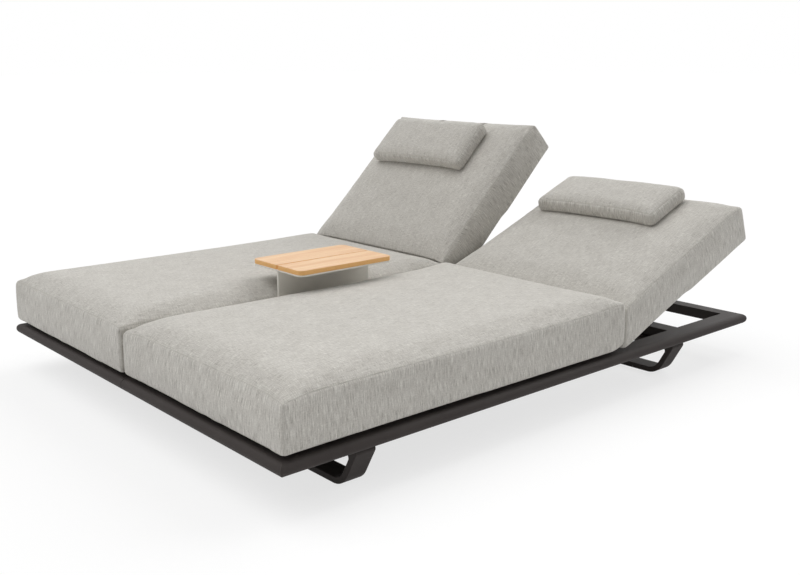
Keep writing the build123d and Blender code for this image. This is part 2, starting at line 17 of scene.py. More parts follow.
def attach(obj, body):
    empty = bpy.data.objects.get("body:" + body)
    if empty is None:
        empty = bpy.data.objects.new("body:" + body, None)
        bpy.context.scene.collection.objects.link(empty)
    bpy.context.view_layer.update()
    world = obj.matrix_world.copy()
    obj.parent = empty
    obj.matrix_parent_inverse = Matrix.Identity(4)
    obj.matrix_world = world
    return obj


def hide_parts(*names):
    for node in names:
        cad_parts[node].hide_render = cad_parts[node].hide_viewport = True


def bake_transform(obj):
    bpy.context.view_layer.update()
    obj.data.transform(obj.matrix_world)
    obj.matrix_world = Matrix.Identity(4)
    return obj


MM = 0.001

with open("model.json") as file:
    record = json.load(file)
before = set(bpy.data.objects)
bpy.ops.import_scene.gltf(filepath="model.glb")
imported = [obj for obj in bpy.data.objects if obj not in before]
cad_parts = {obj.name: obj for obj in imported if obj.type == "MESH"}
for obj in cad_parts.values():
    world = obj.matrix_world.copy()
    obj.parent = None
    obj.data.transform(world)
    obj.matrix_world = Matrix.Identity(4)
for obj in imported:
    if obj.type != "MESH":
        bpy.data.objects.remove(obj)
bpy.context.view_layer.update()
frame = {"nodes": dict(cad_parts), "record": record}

# Places shared with the CAD source

SIDES = {"right": 1, "left": -1}
LOUNGER_MIDDLE = 399.0
HINGE_Y = 302.0
HINGE_Z = 157.0
BACK_ANGLES = {"right": 21.6, "left": 44.5}

# Seat and back cushions: the distance of their sides from the frame's middle, the length of a
# rounded edge in their grids, how far their long sides pull in between the corners, and the share
# of that at their ends

CUSHION_LOW_X = 3.0
CUSHION_HIGH_X = 797.0
CUSHION_EDGE = 13.0
CUSHION_PULL = 2.5
END_PULL_SHARE = 0.6

# Seat cushions: their ends, underside and top seam, and the radii of their edges

SEAT_STARTS = {"right": -998.0, "left": -1003.0}
SEAT_END = 282.0
SEAT_BOTTOM = 164.4
SEAT_PLANE = 300.0
SEAT_STEP = 27.0
SEAT_FRONT_RADIUS = 15.0
SEAT_REAR_RADIUS = 9.0
SEAT_TOP_RADIUS = 11.0
SEAT_FOOT_RADIUS = 12.0

# A seat's top: the rise beside the seam and its reach, the crown, the gain towards the head end,
# the dips of its front and rear corners, and the lift of its rear end from a share of its length

SEAT_RISES = {"right": 19.0, "left": 24.0}
SEAT_RISE_REACH = 34.0
SEAT_CROWNS = {"right": 8.0, "left": 10.0}
SEAT_TILTS = {"right": 0.12, "left": 0.06}
SEAT_FRONT_DIPS = {"right": 8.0, "left": 0.0}
SEAT_REAR_DIP = -4.0
SEAT_DIP_REACH = 70.0
SEAT_LIFTS = {"right": 6.0, "left": 1.0}
SEAT_LIFT_START = 0.85
SEAT_LIFT_LENGTH = 0.13

# A seat's underside: the curl of its rear end, the lift of its other edges, the waver of its
# foot, and how far below its plane the cloth may sag

SEAT_CURL = 16.0
SEAT_CURL_REACH = 60.0
SEAT_EDGE_LIFT = 1.5
SEAT_EDGE_REACH = 26.0
SEAT_EDGE_HEIGHT = 70.0
SEAT_WAVER = 3.5
SEAT_SAG = 8.0

# The channel between the seat cushions that the table's blade slides in

CHANNEL_X = 5.6
CHANNEL_Y = (-865.0, 115.0)
CHANNEL_END = 40.0

# Back cushions: their ends, underside and top seam, the radii of their edges, and the wall and
# roof that their front faces keep to, where the seat cushions end

BACK_FRONTS = {"right": -13.0, "left": 78.0}
BACK_ENDS = {"right": 727.0, "left": 776.0}
BACK_BOTTOM = 8.4
BACK_PLANE = 134.0
BACK_STEP = 25.0
BACK_RADIUS = 12.0
BACK_FRONT_GAIN = 14.0
BACK_FRONT_FOOT = 22.0
BACK_WALL_Y = 285.5
BACK_ROOF_Z = 303.0
BACK_ROOF_RISE = 9.0
BACK_ROOF_REACH = 34.0

# A back's top: the rise beside the seam and its reach, the crown, the dip of its far corners, the
# brow along its far end between them, and the roll down to its front

BACK_RISE = 14.0
BACK_RISE_REACH = 32.0
BACK_CROWN = 6.0
BACK_DIP = 4.0
BACK_DIP_REACH = 60.0
BACK_BROWS = {"right": 6.0, "left": 1.0}
BACK_BROW_DEPTH = 60.0
BACK_BROW_REACH = 75.0
BACK_ROLL = 5.0
BACK_ROLL_REACH = 30.0

# How far a back's sides hang past its strips, from a distance from its middle outwards

BACK_HANGS = {"right": 8.5, "left": 9.0}
BACK_HANG_START = 255.0
BACK_HANG_REACH = 140.0

# Height of a back cushion's crown in the flat pose, and its fall towards the sides

CREST = 156.5
CREST_FALL = 12.5
CREST_REACH = 375.0

# Pillows: size, middle along the back and shift across it, the radii of the edges, the rise, crown
# and pull of the cloth, how far the top sinks and the underside swells, and the gap below

PILLOW_SIZE = (535.0, 222.0, 61.0)
PILLOW_MIDDLES = {"right": 571.0, "left": 592.0}
PILLOW_SHIFTS = {"right": -47.0, "left": -40.0}
PILLOW_STEP = 15.0
PILLOW_EDGE = 12.0
PILLOW_SIDE_RADIUS = 29.0
PILLOW_TOP_RADIUS = 22.0
PILLOW_FOOT_RADIUS = 24.0
PILLOW_RISE = 5.0
PILLOW_RISE_REACH = 30.0
PILLOW_CROWN = 4.0
PILLOW_PULL = 3.0
PILLOW_SINK = 4.0
PILLOW_BELLY = 0.2
PILLOW_GAP = 3.5

# Straps: places across a back, section, the reach under the pillow, and the turn over the far end
# with the angles at which it is probed for the cushion's skin

STRAP_SHIFT = 12.0
STRAP_SPREAD = 243.0
STRAP_WIDTH = 20.0
STRAP_THICKNESS = 1.4
STRAP_BEVEL = 0.8
STRAP_SHOULDER = 0.7
STRAP_GAP = 0.5
STRAP_TUCK = 235.0
STRAP_STEP = 8.0
STRAP_TURN = 45.0
STRAP_SWEEP = (90.0, -14.0, -4.0)
STRAP_SMOOTHING = 6
PROBE_HEIGHT = 400.0
PROBE_REACH = 300.0

# The table's top: its left board is the wider one, and the tray stands proud of both

TABLE_X = (-140.0, 127.0)
TABLE_Y = (-461.0, -90.0)
TABLE_TOP = 409.0
TABLE_CORNER = 20.0
BOARD_CORNER = 2.5
BOARD_EDGE = 1.6
BOARD_FOOT = 1.0
BOARD_GAP = 5.5
TRAY_TOP = 394.0
TRAY_DEPTH = 5.0
TRAY_PROUD = 1.2
TRAY_EDGE = 0.6
TRAY_FOOT = 2.0
CORNER_STEPS = 9
RIM_STEPS = 4

# Cloth that swells: the solver's settings and frames, its pressure, how far the cloth of each kind
# may move, and where it is held: up the sides, by the upright corners and at a back's front

CLOTH_SETTINGS = {"use_pressure": True, "tension_stiffness": 18, "compression_stiffness": 12,
                  "shear_stiffness": 6, "bending_stiffness": 0.8, "quality": 5}
CLOTH_FRAMES = 20
CUSHION_PRESSURE = 4.0
PILLOW_PRESSURE = 3.0
SEAT_SWELL = 13.0
BACK_SWELL = 8.0
PILLOW_SWELL = 5.0
HOLD = 0.9
HOLD_HEIGHT = 60.0
SEAT_HOLD_REACH = 55.0
BACK_HOLD_REACH = 50.0
BACK_HOLD_FRONT = 110.0

# Sewing of each kind: the depth of the seam, the pucker beside it and the panels' waves

SEAT_SEWING = {"depth": 0.8, "pucker": 0.9, "waves": 1.6}
BACK_SEWING = {"depth": 0.8, "pucker": 0.8, "waves": 1.2}
PILLOW_SEWING = {"depth": 1.2, "pucker": 0.8, "waves": 1.2}

# The seam's width, and the gathers beside it and the panels' waves as pairs of a wavelength and its
# share, with the reach over which each fades

SEAM_WIDTH = 2.6
GATHERS = ((17.0, 0.6), (41.0, 0.7))
GATHER_START = 3.0
GATHER_TOP_REACH = 14.0
GATHER_SIDE_REACH = 30.0
WAVES = ((260.0, 1.0), (120.0, 0.5))
WAVE_REACH = 40.0

# The upright folds of the boxing, which fade towards the seam and the foot, and the foot's waver

FOLD_WAVELENGTH = 55.0
FOLD_DEPTH = 0.9
FOLD_STRETCH = 0.25
FOLD_FADE = 20.0
WAVERS = ((95.0, 0.6), (38.0, 0.4))
WAVER_HEIGHT = 22.0

# How often a cushion's grid is halved, and how far past the boxing's foot the underside counts as
# being from the seam

SUBDIVISIONS = 2
PAST_FOOT = 50.0

# The seeds of each lounger's noises

SEEDS = {"right": 11, "left": 47}
BACK_SEED_SHIFT = 100
PILLOW_SEED_SHIFT = 200

# The cloth's look: noises along upright and crosswise threads, the share of the upright ones on
# the top and its gain on the boxing, other noises with scale, detail, roughness and gain, tones,
# the pitch and share of the crossing threads, and what each adds to the relief

THREAD_PITCH = 2.2
THREAD_SHARE = 0.1
WEAVE_RELIEF = {"lattice": 0.5, "slubs": 1.1, "fine": 0.5, "stitch": 0.8}
UPRIGHT_THREADS = (400, 28, 0)
CROSSWISE_THREADS = (45, 360, 0)
UPRIGHT_SHARE = 0.5
UPRIGHT_GAIN = 0.4
SLUB_GAIN = 1.7
WEAVE_NOISES = {"fleck": (230, 1.0, 0.5, 0.4), "fine": (640, 2.0, 0.7, 0.6),
                "broad": (14, 3.0, 0.5, 0.22)}
WEAVE_TONES = ((0.1, (140, 136, 128)), (0.4, (187, 183, 176)), (0.62, (203, 200, 193)),
               (0.92, (232, 230, 222)))
THREAD_TONE = (232, 230, 222)
BOXING_MARK = 0.5

# The seam's look: the painted shade in its groove, and the stitches beside it

SEAM_SHADE_WIDTH = 1.8
SEAM_SHADE_TONE = (120, 114, 106)
SEAM_SHADE_SHARE = 0.08
STITCH_PLACE = 4.5
STITCH_WIDTH = 0.7
STITCH_PITCH = 6.0
STITCH_LENGTH = 0.62
STITCH_TONE = (232, 229, 218)
STITCH_SHARE = 0.5

# Wood: noises across, along and up the boards, how far the grain wanders, tones, the warmer tone of
# the sides and how much of it they take, and the pores

GRAIN_WANDER = (5, 1.2, 5)
GRAIN_BANDS = (60, 2.2, 60)
GRAIN_FIBRES = (420, 7, 420)
GRAIN_PORES = (1500, 60, 1500)
WANDER_REACH = 20.0
WOOD_TONES = ((0.2, (210, 162, 115)), (0.45, (225, 184, 144)), (0.62, (232, 199, 162)),
              (0.85, (239, 212, 181)))
WOOD_SIDE_TONE = (250, 192, 116)
WOOD_SIDE_SHARE = 0.85
PORE_LEVEL = 0.66
PORE_TONE = (170, 112, 62)
PORE_SHARE = 0.25

# Powder coat: the scales of its mottling and its grain, and how far they swing tone and roughness

MOTTLE_SCALE = 9.0
COAT_GRAIN_SCALE = 900.0
GLIDE_GRAIN_SCALE = 400.0
COAT_TONE_SWING = 0.5
COAT_ROUGHNESS_SWING = 0.12

# Steel and webbing

STEEL_BRUSHING = (300, 2600, 2600)
STEEL_TONES = ((0.3, (150, 150, 152)), (0.7, (206, 206, 208)))
WEBBING_SPECKS = (900, 300, 0)
WEBBING_TONES = ((0.2, (128, 124, 117)), (0.8, (176, 171, 162)))
RIB_PITCH = 1.8
PICK_PITCH = 1.1

# Studio: the floor's size, its grey, the glow of the part that the camera sees, the sky's share of
# the light, and each lamp's energy, elevation and azimuth from +X

FLOOR_REACH = 60000.0
FLOOR_GREY = 0.86
FLOOR_GLOW = 0.725
SKY = 0.28
LAMPS = {"key": (1.64, 62.0, 225.0), "back": (1.84, 34.0, 90.0)}
LAMP_SPREAD = 60.0
WHITE = (1, 1, 1, 1)

# Camera: place, fall below the level, turn from +Y towards -X, lens and sensor

CAMERA_PLACE = (2487.8, -2134.3, 1040.4)
CAMERA_FALL = 13.322
CAMERA_TURN = 48.647
LENS = 43.477
SENSOR_WIDTH = 36.0


# Small helpers

def smooth_step(value):
    value = np.clip(value, 0, 1)
    return value * value * (3 - 2 * value)


def smooth_noise(rows, wavelength, seed):
    """Smooth noise from -1 to 1 at points given as rows of coordinates."""
    table = np.random.default_rng(seed).uniform(-1, 1, 4096)
    cells = np.atleast_2d(rows) / wavelength
    base = np.floor(cells).astype(np.int64)
    part = smooth_step(cells - base)
    total = np.zeros(cells.shape[1])
    primes = (73856093, 19349663, 83492791)
    for corner in itertools.product((0, 1), repeat=len(cells)):
        key = np.zeros(cells.shape[1], np.int64)
        weight = np.ones(cells.shape[1])
        for axis, step in enumerate(corner):
            key ^= (base[axis] + step) * primes[axis]
            weight *= part[axis] if step else 1 - part[axis]
        total += weight * table[key & 4095]
    return total


def layered_noise(rows, layers, seed):
    """Noises added up, each with its wavelength, its share and the next seed."""
    return sum(share * smooth_noise(rows, wavelength, seed + place)
               for place, (wavelength, share) in enumerate(layers))


def raised(points, angle):
    """Points of a back in its flat pose, carried to the angle at which it stands."""
    turn = math.radians(angle)
    x, s, h = points.T
    y = HINGE_Y + s * math.cos(turn) - h * math.sin(turn)
    z = HINGE_Z + s * math.sin(turn) + h * math.cos(turn)
    return np.stack([x, y, z], 1)


def rows_of(mesh, kind):
    """Three numbers for each of a mesh's points, of one kind: "co" for its place, or "normal"."""
    flat = np.zeros(len(mesh.vertices) * 3, np.float32)
    mesh.vertices.foreach_get(kind, flat)
    return flat.reshape(-1, 3).astype(float)


def points_of(mesh):
    return rows_of(mesh, "co")


def set_points(mesh, points):
    mesh.vertices.foreach_set("co", points.astype(np.float32).ravel())
    mesh.update()


def tube_faces(rings, count):
    """Faces of a tube through rings with a count of points each: those round it, then its two ends."""
    sides = []
    for ring, i in itertools.product(range(rings - 1), range(count)):
        j = (i + 1) % count
        here, there = ring * count, (ring + 1) * count
        sides.append([here + i, here + j, there + j, there + i])
    last = (rings - 1) * count
    return sides, [list(range(count))[::-1], list(range(last, last + count))]


def new_object(name, data):
    made = bpy.data.objects.new(name, data)
    bpy.context.scene.collection.objects.link(made)
    return made


def set_material(made, material):
    """Give an object one material in place of all that it has."""
    made.data.materials.clear()
    made.data.materials.append(material)


# Shader nodes

def node(tree, kind, **values):
    """A shader node; an input that is a socket is linked, and any other is set."""
    made = tree.nodes.new(kind)
    inputs = values.pop("inputs", {})
    for key, value in values.items():
        setattr(made, key, value)
    for key, value in inputs.items():
        feed(tree, made.inputs[key], value)
    return made


def feed(tree, socket, value):
    """Link an input to another socket, or set it to a constant."""
    if isinstance(value, bpy.types.NodeSocket):
        tree.links.new(value, socket)
    else:
        socket.default_value = value


def srgb(red, green, blue):
    """A colour written as it looks, as the linear colour that a shader takes."""
    def linear(part):
        part /= 255
        return part / 12.92 if part <= 0.04045 else ((part + 0.055) / 1.055) ** 2.4
    return (linear(red), linear(green), linear(blue), 1)


def ramp(tree, source, stops):
    """A colour ramp from stops, each a place from 0 to 1 and a colour as it looks."""
    made = node(tree, "ShaderNodeValToRGB", inputs={"Fac": source})
    points = made.color_ramp.elements
    while len(points) < len(stops):
        points.new(0.5)
    for point, (place, tone) in zip(points, stops):
        point.position = place
        point.color = srgb(*tone)
    return made.outputs["Color"]


def maths(tree, operation, first, second=0.0, third=0.0):
    made = node(tree, "ShaderNodeMath", operation=operation, inputs={0: first, 1: second, 2: third})
    return made.outputs[0]


def swung(tree, source, gain, base):
    """The base plus a noise's swing about its middle, times a gain."""
    return maths(tree, "MULTIPLY_ADD", maths(tree, "SUBTRACT", source, 0.5), gain, base)


def scaled(tree, vector, scale):
    made = node(tree, "ShaderNodeVectorMath", operation="MULTIPLY", inputs={0: vector, 1: scale})
    return made.outputs["Vector"]


def noise(tree, vector, scale, detail, roughness):
    made = node(tree, "ShaderNodeTexNoise", inputs={"Vector": vector, "Scale": scale, "Detail": detail,
                                                    "Roughness": roughness})
    return made.outputs["Fac"]


def mixed(tree, share, first, second):
    """Two colours mixed, with the share of the second."""
    made = node(tree, "ShaderNodeMix", data_type="RGBA", inputs={0: share, 6: first, 7: second})
    return made.outputs[2]


def threads_at(tree, along, pitch):
    """Threads side by side at a pitch: rounded ridges from 0 to 1."""
    phase = maths(tree, "MULTIPLY", along, 2 * math.pi / (pitch * MM))
    return maths(tree, "MULTIPLY_ADD", maths(tree, "SINE", phase), 0.5, 0.5)


def attribute(tree, name):
    return node(tree, "ShaderNodeAttribute", attribute_name=name)


def object_place(tree):
    return node(tree, "ShaderNodeTexCoord").outputs["Object"]


def empty_material(name):
    material = bpy.data.materials.new(name)
    material.use_nodes = True
    tree = material.node_tree
    tree.nodes.clear()
    return material, tree


def surface(name, fixed):
    """A material with one Principled shader, its constants set on the shader's own sockets."""
    material, tree = empty_material(name)
    shader = node(tree, "ShaderNodeBsdfPrincipled", inputs=fixed)
    node(tree, "ShaderNodeOutputMaterial", inputs={"Surface": shader.outputs[0]})
    return material, tree, shader


def bump(tree, shader, strength, distance, height):
    """Give a shader the relief of a height, with the distance in millimetres."""
    made = node(tree, "ShaderNodeBump", inputs={"Strength": strength, "Distance": distance * MM,
                                                "Height": height})
    tree.links.new(made.outputs[0], shader.inputs["Normal"])


# Materials

def fabric_material():
    """Melange outdoor weave: light warm threads over grey ones, with slubs, seam stitches and painted
    shade in the seam's groove.
    """
    material, tree, shader = surface("melange_weave", {"Roughness": 0.92, "Specular IOR Level": 0.25,
                                                       "Sheen Weight": 0.25, "Sheen Roughness": 0.5})
    weave = attribute(tree, "weave").outputs["Vector"]
    across, along, panel = node(tree, "ShaderNodeSeparateXYZ", inputs={0: weave}).outputs
    boxing = maths(tree, "GREATER_THAN", panel, BOXING_MARK * MM)

    # Threads stand upright on the boxing and run across the lounger on the top
    upright = noise(tree, scaled(tree, weave, UPRIGHT_THREADS), 1.0, 3.0, 0.6)
    crosswise = noise(tree, scaled(tree, weave, CROSSWISE_THREADS), 1.0, 3.0, 0.6)
    share = maths(tree, "MULTIPLY_ADD", boxing, UPRIGHT_GAIN, UPRIGHT_SHARE)
    slubs = mixed(tree, share, crosswise, upright)
    grain = swung(tree, slubs, SLUB_GAIN, 0.5)
    noises = {}
    for name, (scale, detail, roughness, gain) in WEAVE_NOISES.items():
        noises[name] = noise(tree, scaled(tree, weave, (scale, scale, 0)), 1.0, detail, roughness)
        grain = swung(tree, noises[name], gain, grain)
    threads = ramp(tree, grain, WEAVE_TONES)
    lattice = maths(tree, "MULTIPLY", threads_at(tree, across, THREAD_PITCH),
                    threads_at(tree, along, THREAD_PITCH))
    threads = mixed(tree, maths(tree, "MULTIPLY", lattice, THREAD_SHARE), threads, srgb(*THREAD_TONE))

    # Painted shade in the seam's groove, and the line of stitches beside it
    seam = attribute(tree, "seam").outputs["Fac"]
    run = attribute(tree, "run").outputs["Fac"]
    near = maths(tree, "DIVIDE", maths(tree, "ABSOLUTE", seam), SEAM_SHADE_WIDTH * MM)
    seam_shade = maths(tree, "SUBTRACT", 1.0, maths(tree, "SMOOTH_MIN", near, 1.0, 0.2))
    threads = mixed(tree, maths(tree, "MULTIPLY", seam_shade, SEAM_SHADE_SHARE), threads, srgb(*SEAM_SHADE_TONE))
    beside = maths(tree, "ABSOLUTE", maths(tree, "SUBTRACT", seam, STITCH_PLACE * MM))
    on_line = maths(tree, "LESS_THAN", beside, STITCH_WIDTH * MM)
    step = maths(tree, "FRACT", maths(tree, "DIVIDE", run, STITCH_PITCH * MM))
    stitch = maths(tree, "MULTIPLY", on_line, maths(tree, "LESS_THAN", step, STITCH_LENGTH))
    threads = mixed(tree, maths(tree, "MULTIPLY", stitch, STITCH_SHARE), threads, srgb(*STITCH_TONE))
    tree.links.new(threads, shader.inputs["Base Color"])

    height = maths(tree, "MULTIPLY", slubs, WEAVE_RELIEF["slubs"])
    for name, source in (("lattice", lattice), ("fine", noises["fine"]), ("stitch", stitch)):
        height = maths(tree, "MULTIPLY_ADD", source, WEAVE_RELIEF[name], height)
    bump(tree, shader, 0.35, 1.2, height)
    return material


def coat_material(name, dark, light, roughness, gloss, grain_scale=COAT_GRAIN_SCALE):
    """Powder coat: a fine orange-peel grain, slight mottling and a worn sheen."""
    material, tree, shader = surface(name, {"Specular IOR Level": gloss})
    place = object_place(tree)
    mottle = noise(tree, place, MOTTLE_SCALE, 4.0, 0.55)
    speck = noise(tree, place, grain_scale, 2.0, 0.5)
    tone = ramp(tree, swung(tree, speck, COAT_TONE_SWING, mottle), ((0.25, dark), (0.75, light)))
    tree.links.new(tone, shader.inputs["Base Color"])
    rough = swung(tree, mottle, COAT_ROUGHNESS_SWING, roughness)
    tree.links.new(rough, shader.inputs["Roughness"])
    bump(tree, shader, 0.12, 0.4, speck)
    return material


def wood_material():
    """Teak, light and oiled: long fibres along the board, soft growth bands and fine pores."""
    material, tree, shader = surface("teak", {"Specular IOR Level": 0.35})
    place = object_place(tree)
    wander = noise(tree, scaled(tree, place, GRAIN_WANDER), 1.0, 2.0, 0.5)
    aside = maths(tree, "MULTIPLY", wander, WANDER_REACH * MM)
    shift = node(tree, "ShaderNodeCombineXYZ", inputs={0: aside}).outputs[0]
    bent = node(tree, "ShaderNodeVectorMath", operation="ADD", inputs={0: place, 1: shift}).outputs[0]
    bands = noise(tree, scaled(tree, bent, GRAIN_BANDS), 1.0, 3.0, 0.6)
    fibres = noise(tree, scaled(tree, bent, GRAIN_FIBRES), 1.0, 3.0, 0.65)
    pores = noise(tree, scaled(tree, bent, GRAIN_PORES), 1.0, 1.0, 0.5)
    colour = ramp(tree, swung(tree, fibres, 0.55, bands), WOOD_TONES)

    # The boards' sides are warmer than their tops
    normal = node(tree, "ShaderNodeTexCoord").outputs["Normal"]
    facing = node(tree, "ShaderNodeSeparateXYZ", inputs={0: normal}).outputs[2]
    level = maths(tree, "SMOOTH_MIN", maths(tree, "ABSOLUTE", facing), 1.0, 0.1)
    sideways = maths(tree, "SUBTRACT", 1.0, level)
    share = maths(tree, "MULTIPLY", sideways, WOOD_SIDE_SHARE)
    colour = mixed(tree, share, colour, srgb(*WOOD_SIDE_TONE))
    pits = maths(tree, "GREATER_THAN", pores, PORE_LEVEL)
    colour = mixed(tree, maths(tree, "MULTIPLY", pits, PORE_SHARE), colour, srgb(*PORE_TONE))
    tree.links.new(colour, shader.inputs["Base Color"])
    tree.links.new(maths(tree, "MULTIPLY_ADD", fibres, 0.18, 0.42), shader.inputs["Roughness"])
    bump(tree, shader, 0.2, 0.4, maths(tree, "MULTIPLY_ADD", pits, -0.6, fibres))
    return material


def steel_material():
    """Brushed stainless steel."""
    material, tree, shader = surface("brushed_steel", {"Metallic": 1.0})
    brushed = noise(tree, scaled(tree, object_place(tree), STEEL_BRUSHING), 1.0, 2.0, 0.5)
    tree.links.new(ramp(tree, brushed, STEEL_TONES), shader.inputs["Base Color"])
    tree.links.new(maths(tree, "MULTIPLY_ADD", brushed, 0.2, 0.25), shader.inputs["Roughness"])
    return material


def webbing_material():
    """Woven elastic strap: ribs along it and a grey yarn."""
    material, tree, shader = surface("webbing", {"Roughness": 0.85, "Sheen Weight": 0.2})
    weave = attribute(tree, "weave").outputs["Vector"]
    across, along, _ = node(tree, "ShaderNodeSeparateXYZ", inputs={0: weave}).outputs
    ribs = threads_at(tree, across, RIB_PITCH)
    lattice = maths(tree, "MULTIPLY_ADD", threads_at(tree, along, PICK_PITCH), 0.4, ribs)
    speck = noise(tree, scaled(tree, weave, WEBBING_SPECKS), 1.0, 2.0, 0.5)
    tone = maths(tree, "MULTIPLY_ADD", speck, 0.5, maths(tree, "MULTIPLY", lattice, 0.4))
    tree.links.new(ramp(tree, tone, WEBBING_TONES), shader.inputs["Base Color"])
    bump(tree, shader, 0.5, 0.6, lattice)
    return material


FABRIC = fabric_material()
FRAME_COAT = coat_material("anthracite_coat", (57, 52, 50), (67, 62, 60), 0.62, 0.14)
PALE_COAT = coat_material("pale_coat", (230, 227, 219), (241, 238, 231), 0.42, 0.4)
GLIDE = coat_material("glide_plastic", (24, 24, 25), (34, 34, 35), 0.6, 0.3, GLIDE_GRAIN_SCALE)
WOOD = wood_material()
STEEL = steel_material()
WEBBING = webbing_material()

SLOT_MATERIALS = {"frame_metal": FRAME_COAT, "fabric": FABRIC, "strap": WEBBING, "wood": WOOD,
                  "pale_metal": PALE_COAT, "steel": STEEL, "glide": GLIDE}


def finish_cad_nodes():
    """Give every CAD node the finish of its slot."""
    for part in frame["record"]["subparts"]:
        set_material(frame["nodes"][part["node"]], SLOT_MATERIALS[part["material_slot"]])


# Cushion skins

def grid_stops(length, step, edge):
    """Grid stops along an edge: two close ones at each rounded end, and even ones between."""
    count = max(2, round((length - 2 * edge) / step) + 1)
    middle = np.linspace(edge, length - edge, count)
    return np.concatenate([[0.0, edge / 2], middle, [length - edge / 2, length]])


def skin(size, step, edge):
    """The skin of a box as quads, with each corner's flat place on its panel of cloth.

    Panels: 0 the top, 1 the boxing round the sides, 2 the underside.
    """
    xs, ys, zs = (grid_stops(length, step, edge) for length in size)
    lx, ly = size[0], size[1]
    index, points, quads, flats, panels = {}, [], [], [], []

    def at(key):
        if key not in index:
            index[key] = len(points)
            points.append((xs[key[0]], ys[key[1]], zs[key[2]]))
        return index[key]

    def add(keys, panel, place):
        quads.append([at(key) for key in keys])
        flats.extend(place(xs[i], ys[j], zs[k]) for i, j, k in keys)
        panels.append(panel)

    last_i, last_j, last_k = len(xs) - 1, len(ys) - 1, len(zs) - 1
    for i, j in itertools.product(range(last_i), range(last_j)):
        ring = [(i, j), (i + 1, j), (i + 1, j + 1), (i, j + 1)]
        add([(a, b, last_k) for a, b in ring], 0, lambda x, y, z: (x, y))
        add([(a, b, 0) for a, b in reversed(ring)], 2, lambda x, y, z: (x, y))
    for j, k in itertools.product(range(last_j), range(last_k)):
        ring = [(j, k), (j + 1, k), (j + 1, k + 1), (j, k + 1)]
        add([(last_i, a, b) for a, b in ring], 1, lambda x, y, z: (y, z))
        add([(0, a, b) for a, b in reversed(ring)], 1, lambda x, y, z: (-lx - y, z))
    for i, k in itertools.product(range(last_i), range(last_k)):
        ring = [(i, k), (i + 1, k), (i + 1, k + 1), (i, k + 1)]
        add([(a, 0, b) for a, b in ring], 1, lambda x, y, z: (x - lx, z))
        add([(a, last_j, b) for a, b in reversed(ring)], 1, lambda x, y, z: (ly + lx - x, z))
    return np.array(points), quads, np.array(flats), np.array(panels)


def rounded(points, size, side, top, bottom):
    """Round a box's edges: the upright ones, those at the top and those at the bottom."""
    size = np.array(size)
    upper = points[:, 2] > size[2] / 2
    flat_radius = np.full(len(points), side)
    radii = np.stack([flat_radius, flat_radius, np.where(upper, top, bottom)], 1)
    inner = np.clip(points, radii, size - radii)
    away = (points - inner) / radii
    length = np.linalg.norm(away, axis=1)
    reach = np.where(length > 0, np.maximum(length, 1e-9), 1)
    return inner + away / reach[:, None] * radii


def mirrored(points, quads, flats):
    """The same skin for the left lounger, with its faces still turned outwards."""
    points[:, 0] *= -1
    return [quad[::-1] for quad in quads], flats.reshape(-1, 4, 2)[:, ::-1].reshape(-1, 2)


def cloth_object(name, points, cloth, side=1):
    """A skin as an object in metres, with its cloth's flat places as two layers of its mesh."""
    quads, flats, panels = cloth
    if side < 0:
        quads, flats = mirrored(points, quads, flats)
    mesh = bpy.data.meshes.new(name)
    mesh.from_pydata([tuple(p) for p in points * MM], [], quads)
    flat = mesh.uv_layers.new(name="flat")
    flat.data.foreach_set("uv", (flats * MM).astype(np.float32).ravel())
    panel = mesh.uv_layers.new(name="panel")
    doubled = np.repeat(panels * MM, 4)
    panel.data.foreach_set("uv", np.stack([doubled, doubled], 1).astype(np.float32).ravel())
    mesh.update()
    return new_object(name, mesh)


# Shaping: each function takes points in a box of a size, with a corner at nought

def inward(points, size, axis):
    """How far each point is from the nearer of the box's two sides on an axis."""
    return np.minimum(points[:, axis], size[axis] - points[:, axis])


def arch(points, size, axis, power):
    """One in the middle of the box on an axis, and nought at both ends."""
    return 1 - (2 * points[:, axis] / size[axis] - 1) ** power


def corner_hold(points, size, reach):
    """How near each point is to an upright corner, from nought to one."""
    return np.exp(-(inward(points, size, 0) ** 2 + inward(points, size, 1) ** 2) / reach ** 2)


def shoulder(points, size, rise, reach, crown):
    """The lift of a top panel: steep beside the seam, then a long low crown."""
    edge = np.minimum(inward(points, size, 0), inward(points, size, 1)).clip(0)
    across = np.clip(arch(points, size, 0, 2), 0, 1)
    along = np.clip(arch(points, size, 1, 4), 0, 1)
    return rise * (1 - np.exp(-edge / reach)) + crown * across * along


def draw_in(points, size, depth):
    """Pull the long sides in between the corners, and the ends a little less."""
    share = points[:, 0] / size[0] * 2 - 1
    points[:, 0] -= share * depth * arch(points, size, 1, 4)
    ends = points[:, 1] / size[1] * 2 - 1
    points[:, 1] -= ends * depth * END_PULL_SHARE * arch(points, size, 0, 4) * (np.abs(ends) > 0.5)


def fit_plan(points, axis, low, high):
    """Stretch a cushion along one axis so that it reaches exactly from low to high."""
    least, most = points[:, axis].min(), points[:, axis].max()
    points[:, axis] = low + (points[:, axis] - least) / (most - least) * (high - low)


def fit_sides(points, side):
    """Stretch a cushion across, so that its sides are in their places."""
    fit_plan(points, 0, *sorted((side * CUSHION_LOW_X, side * CUSHION_HIGH_X)))


# Swelling, refining and sewing

def grip(raw, size, reach):
    """How firmly the swelling cloth is held: whole at the underside, less above and by the corners."""
    sides = np.clip(1 - raw[:, 2] / HOLD_HEIGHT, 0, 1)
    held = HOLD * np.maximum(sides, corner_hold(raw, size, reach))
    return np.where(raw[:, 2] < 1, 1.0, held)


